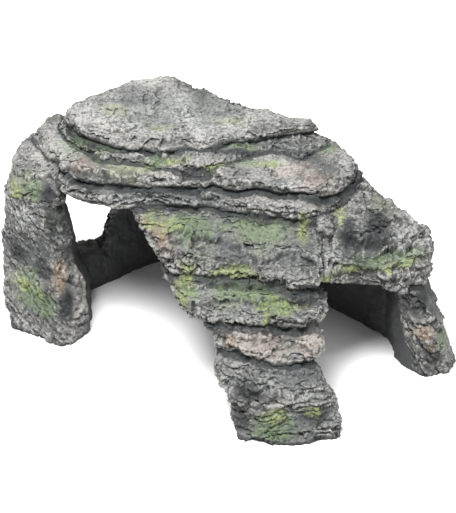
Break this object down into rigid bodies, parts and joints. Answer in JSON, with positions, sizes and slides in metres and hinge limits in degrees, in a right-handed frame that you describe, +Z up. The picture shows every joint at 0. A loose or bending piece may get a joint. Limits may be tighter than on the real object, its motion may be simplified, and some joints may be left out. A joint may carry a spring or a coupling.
{
  "type": "aquarium cave ornament",
  "caption": "Hollow stacked-slate cave for a pond or aquarium, with a stepped ramp, a doorway on each side of the ramp, a rear window and an open base.",
  "frame": {"origin": "under the middle of the ornament's box, on the plane that its feet stand on", "axes": "+X to the right as one faces the ramp, +Y to the back, +Z up"},
  "size_m": [0.249, 0.196, 0.1124],
  "materials": {
    "painted_resin": "matt hand-painted slate grey, with a dark wash in the cracks, pale dry-brushed edges and moss-green stipple",
    "dark_resin": "matt charcoal basecoat, smooth from the moulding core"
  },
  "bodies": {
    "root": {"capstone": "painted_resin", "seat_slab": "painted_resin", "ledge_slab": "painted_resin", "under_slab": "painted_resin", "left_shoulder": "painted_resin", "left_pillar": "painted_resin", "window_sill": "painted_resin", "right_shoulder": "painted_resin", "right_pillar": "painted_resin", "ramp_tier_upper": "painted_resin", "ramp_tier_lower": "painted_resin", "step_stone": "painted_resin", "foot_stone_upper": "painted_resin", "foot_stone_lower": "painted_resin", "back_wall_left": "dark_resin", "back_wall_centre": "dark_resin", "back_wall_right": "dark_resin"}
  },
  "joints": []
}
